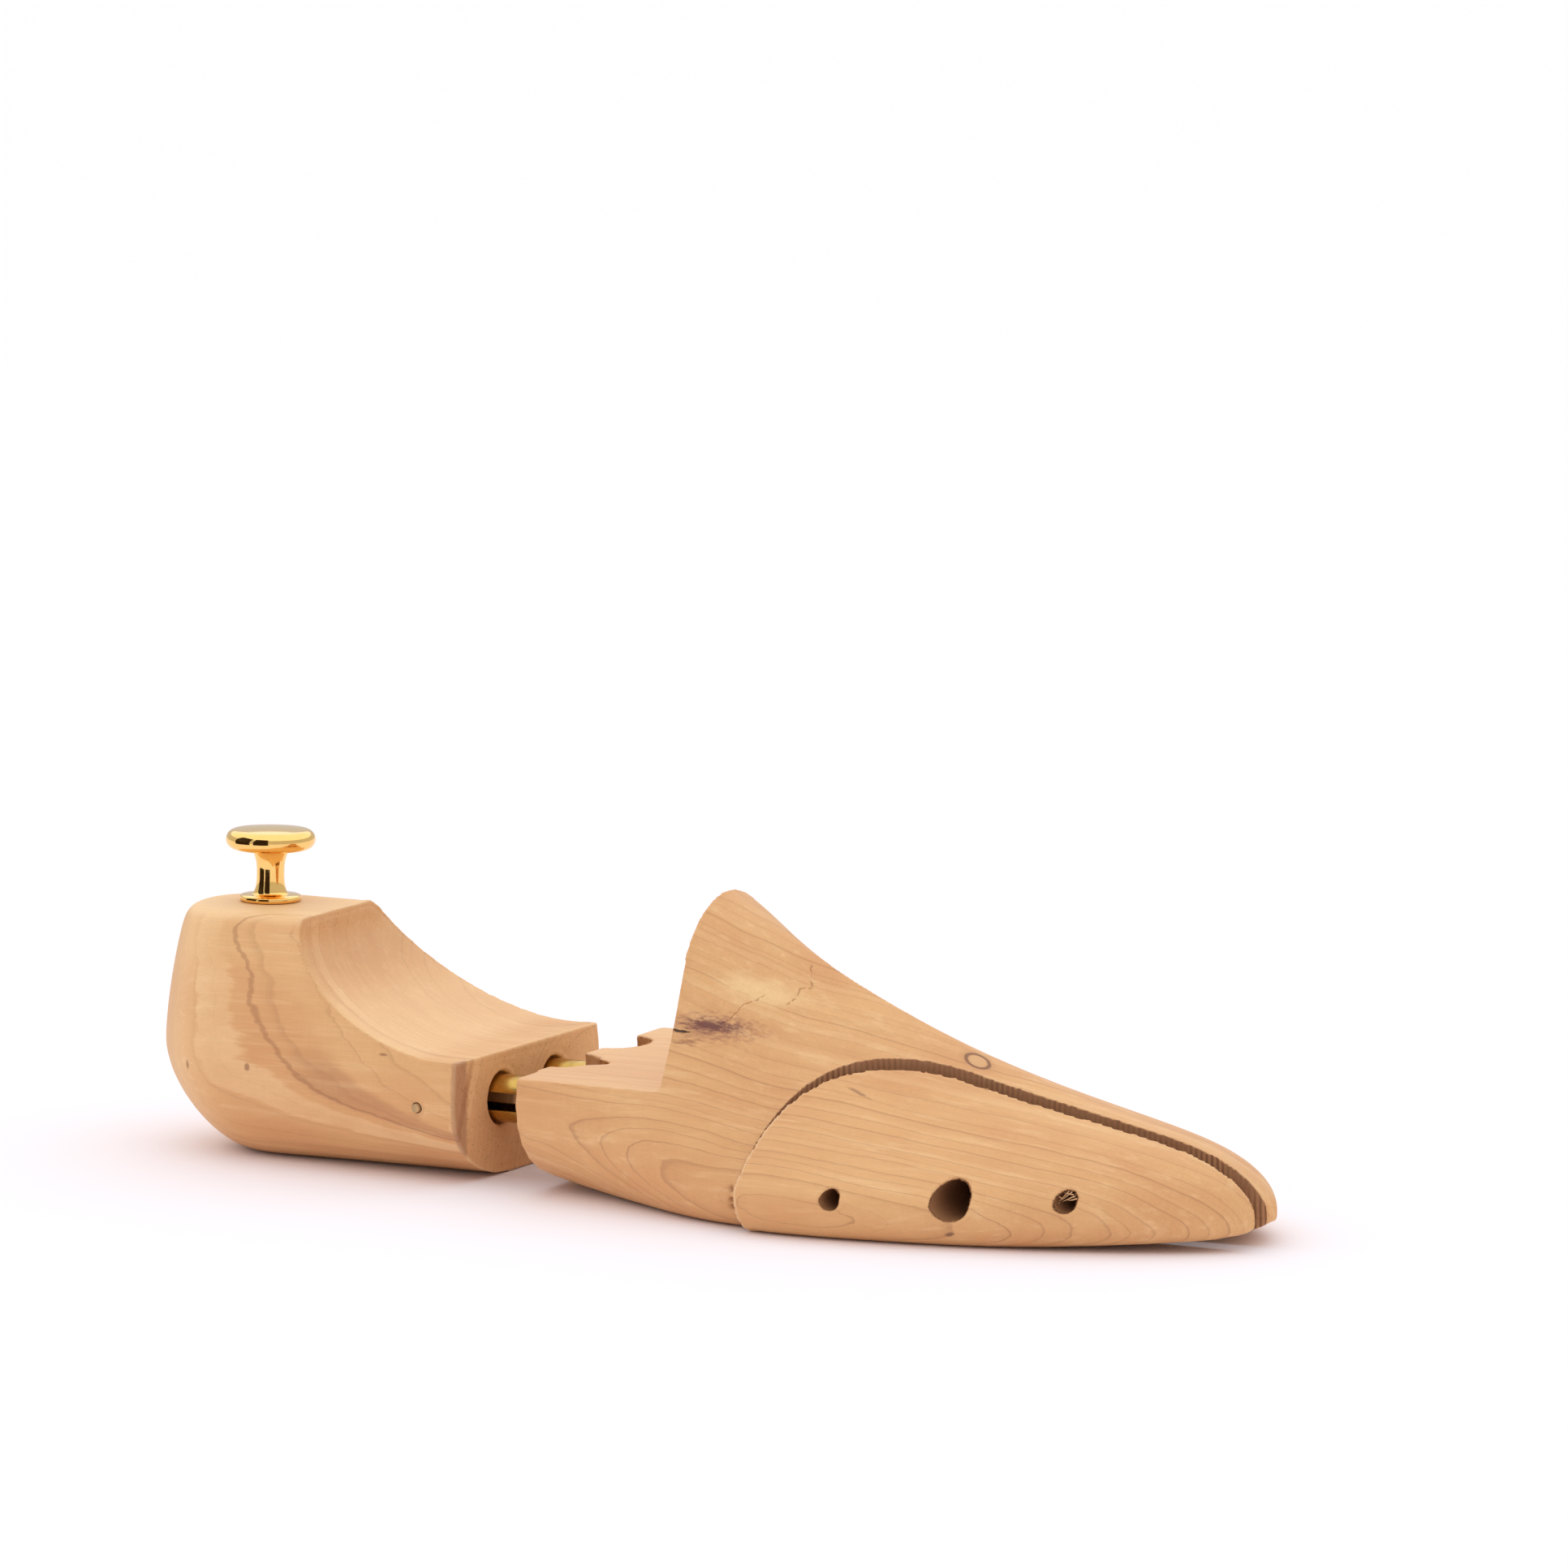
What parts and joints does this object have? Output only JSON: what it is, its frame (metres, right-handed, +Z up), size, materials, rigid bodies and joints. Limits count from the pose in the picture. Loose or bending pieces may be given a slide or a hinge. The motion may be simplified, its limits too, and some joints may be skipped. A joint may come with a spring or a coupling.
{
  "type": "shoe tree",
  "caption": "Split-toe wooden shoe tree: saddle-shaped heel block with a pull knob, sliding and tilting on twin brass tubes in a forepart whose toe springs sideways.",
  "frame": {"origin": "on the resting plane under the heel block, below the knob's axis and midway between the tubes", "axes": "+X from the heel to the toe, +Y from the lateral to the medial side, +Z up"},
  "size_m": [0.2954, 0.091, 0.0775],
  "materials": {
    "heel_wood": "sanded, unfinished",
    "forepart_wood": "sanded, unfinished",
    "toe_wood": "sanded, unfinished",
    "tube_brass": "drawn, slightly dull",
    "knob_brass": "polished",
    "spring_steel": "bright wire",
    "steel": "plain"
  },
  "bodies": {
    "forepart": {"forepart_block": "forepart_wood", "hinge_pin": "steel", "toe_screw": "steel", "toe_washer": "steel", "toe_spring": "spring_steel", "rear_guide_pin": "steel", "front_guide_pin": "steel"},
    "tubes": {"lateral_tube": "tube_brass", "medial_tube": "tube_brass"},
    "heel": {"heel_block": "heel_wood", "heel_cross_pin": "steel", "knob": "knob_brass", "knob_stud": "steel", "lateral_heel_spring": "spring_steel", "medial_heel_spring": "spring_steel"},
    "toe_side": {"toe_side_block": "toe_wood"}
  },
  "joints": [
    {"name": "heel_tilt", "type": "hinge", "parent": "forepart", "child": "tubes", "pos_m": [0.1166, 0, 0.0185], "axis": [0, 1, 0], "range_deg": [0, 15]},
    {"name": "heel_slide", "type": "slide", "parent": "tubes", "child": "heel", "axis": [1, 0, 0], "range_m": [0, 0.014], "stiffness_N_per_m": 1600, "springref_m": -0.006, "deforming": ["lateral_heel_spring", "medial_heel_spring"]},
    {"name": "toe_spread", "type": "slide", "parent": "forepart", "child": "toe_side", "axis": [0, 1, 0], "range_m": [0, 0.0035], "stiffness_N_per_m": 1500, "springref_m": -0.004, "deforming": ["toe_spring"]}
  ]
}
